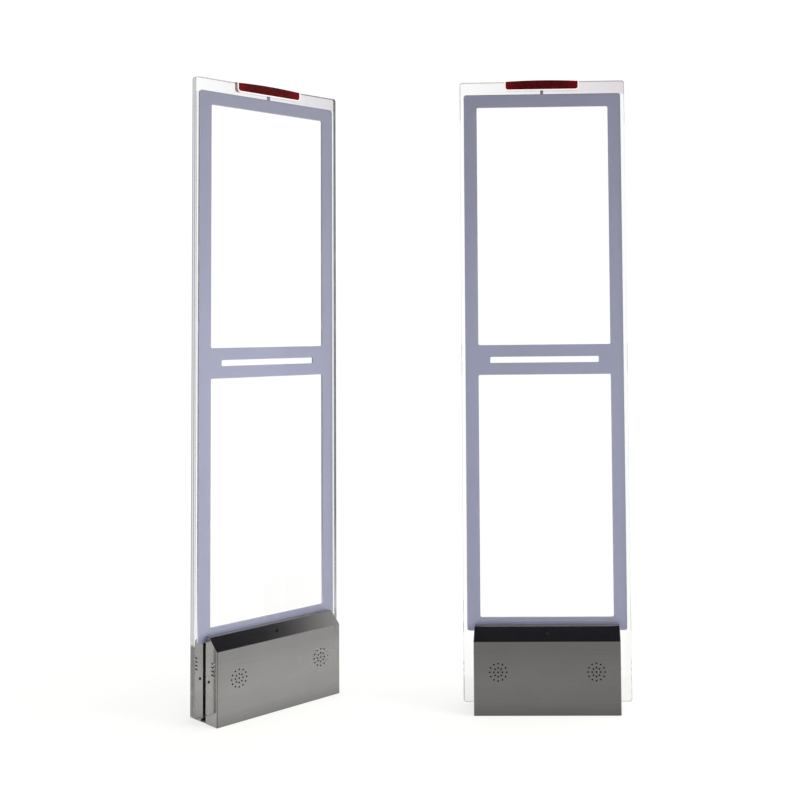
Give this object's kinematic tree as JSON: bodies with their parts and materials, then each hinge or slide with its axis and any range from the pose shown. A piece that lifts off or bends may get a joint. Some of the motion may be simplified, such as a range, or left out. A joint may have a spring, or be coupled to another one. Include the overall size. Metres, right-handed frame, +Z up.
{
  "type": "security gate",
  "caption": "Shop security gate of clear acrylic antenna pedestals, each with a coil frame sealed inside, a red alarm lamp on top and lift-off metal covers over a bolt-down foot.",
  "frame": {"origin": "floor level, under the middle of the bounding box of the two pedestals", "axes": "+Z up, +X along the right pedestal's panel from the left pedestal towards the right one, -Y the side the front covers and grilles face"},
  "size_m": [1.0359, 0.3326, 1.503],
  "materials": {
    "clear_acrylic": "polished clear",
    "grey_frame": "satin",
    "coil_winding": "enamelled copper wire",
    "cable_jacket": "matte",
    "red_lens": "polished translucent",
    "clear_gasket": "translucent",
    "circuit_board": "solder mask",
    "grey_cable": "satin",
    "black_steel": "powder coat",
    "rubber": "matte",
    "zinc_fastener": "zinc plated",
    "stainless_cover": "brushed along its length",
    "black_screw": "black oxide",
    "speaker_black": "matte",
    "component_black": "moulded",
    "zinc_case": "zinc plated",
    "core_steel": "varnished laminations",
    "switch_black": "moulded",
    "rocker_red": "moulded",
    "knob_white": "moulded"
  },
  "bodies": {
    "pedestals": {"right_front_sheet": "clear_acrylic", "right_rear_sheet": "clear_acrylic", "right_front_coil_tray": "grey_frame", "right_rear_coil_tray": "grey_frame", "right_upper_coil": "coil_winding", "right_lower_coil": "coil_winding", "right_coil_leads": "cable_jacket", "right_lamp_lens": "red_lens", "right_lamp_gasket": "clear_gasket", "right_lamp_board": "circuit_board", "right_lamp_lead": "grey_cable", "right_base_frame": "black_steel", "right_clamp_bar": "black_steel", "right_clamp_pads": "rubber", "right_setting_blocks": "rubber", "right_clamp_bolts": "zinc_fastener", "right_speakers": "speaker_black", "right_speaker_brackets": "black_steel", "right_main_board": "circuit_board", "right_board_components": "component_black", "right_power_supply": "zinc_case", "right_transformer": "core_steel", "right_power_switch": "switch_black", "left_front_sheet": "clear_acrylic", "left_rear_sheet": "clear_acrylic", "left_front_coil_tray": "grey_frame", "left_rear_coil_tray": "grey_frame", "left_upper_coil": "coil_winding", "left_lower_coil": "coil_winding", "left_coil_leads": "cable_jacket", "left_lamp_lens": "red_lens", "left_lamp_gasket": "clear_gasket", "left_lamp_board": "circuit_board", "left_lamp_lead": "grey_cable", "left_base_frame": "black_steel", "left_clamp_bar": "black_steel", "left_clamp_pads": "rubber", "left_setting_blocks": "rubber", "left_clamp_bolts": "zinc_fastener", "left_speakers": "speaker_black", "left_speaker_brackets": "black_steel", "left_main_board": "circuit_board", "left_board_components": "component_black", "left_power_supply": "zinc_case", "left_transformer": "core_steel", "left_power_switch": "switch_black"},
    "right_front_cover_body": {"right_front_cover": "stainless_cover", "right_front_cover_screws": "black_screw"},
    "right_rear_cover_body": {"right_rear_cover": "stainless_cover", "right_rear_cover_screws": "black_screw"},
    "right_power_rocker_body": {"right_power_rocker": "rocker_red"},
    "right_sensitivity_knob_body": {"right_sensitivity_knob": "knob_white"},
    "right_volume_knob_body": {"right_volume_knob": "knob_white"},
    "left_front_cover_body": {"left_front_cover": "stainless_cover", "left_front_cover_screws": "black_screw"},
    "left_rear_cover_body": {"left_rear_cover": "stainless_cover", "left_rear_cover_screws": "black_screw"},
    "left_power_rocker_body": {"left_power_rocker": "rocker_red"},
    "left_sensitivity_knob_body": {"left_sensitivity_knob": "knob_white"},
    "left_volume_knob_body": {"left_volume_knob": "knob_white"}
  },
  "joints": [
    {"name": "right_front_cover_lift_off", "type": "slide", "parent": "pedestals", "child": "right_front_cover_body", "axis": [0, -1, 0], "range_m": [0, 0.15]},
    {"name": "right_rear_cover_lift_off", "type": "slide", "parent": "pedestals", "child": "right_rear_cover_body", "axis": [0, 1, 0], "range_m": [0, 0.15]},
    {"name": "right_power_rocker_tilt", "type": "hinge", "parent": "pedestals", "child": "right_power_rocker_body", "pos_m": [0.29847, 0.022, 0.05], "axis": [1, 0, 0], "range_deg": [0, 16]},
    {"name": "right_sensitivity_knob_turn", "type": "hinge", "parent": "pedestals", "child": "right_sensitivity_knob_body", "pos_m": [0.35247, -0.0586, 0.128], "axis": [0, 1, 0], "range_deg": [-135, 135]},
    {"name": "right_volume_knob_turn", "type": "hinge", "parent": "pedestals", "child": "right_volume_knob_body", "pos_m": [0.37647, -0.0586, 0.128], "axis": [0, 1, 0], "range_deg": [-135, 135]},
    {"name": "left_front_cover_lift_off", "type": "slide", "parent": "pedestals", "child": "left_front_cover_body", "axis": [0.7431, -0.6691, 0], "range_m": [0, 0.15]},
    {"name": "left_rear_cover_lift_off", "type": "slide", "parent": "pedestals", "child": "left_rear_cover_body", "axis": [-0.7431, 0.6691, 0], "range_m": [0, 0.15]},
    {"name": "left_power_rocker_tilt", "type": "hinge", "parent": "pedestals", "child": "left_power_rocker_body", "pos_m": [-0.40784, 0.01659, 0.05], "axis": [0.6691, 0.7431, 0], "range_deg": [0, 16]},
    {"name": "left_sensitivity_knob_turn", "type": "hinge", "parent": "pedestals", "child": "left_sensitivity_knob_body", "pos_m": [-0.31181, 0.00278, 0.128], "axis": [-0.7431, 0.6691, 0], "range_deg": [-135, 135]},
    {"name": "left_volume_knob_turn", "type": "hinge", "parent": "pedestals", "child": "left_volume_knob_body", "pos_m": [-0.29575, 0.02062, 0.128], "axis": [-0.7431, 0.6691, 0], "range_deg": [-135, 135]}
  ]
}
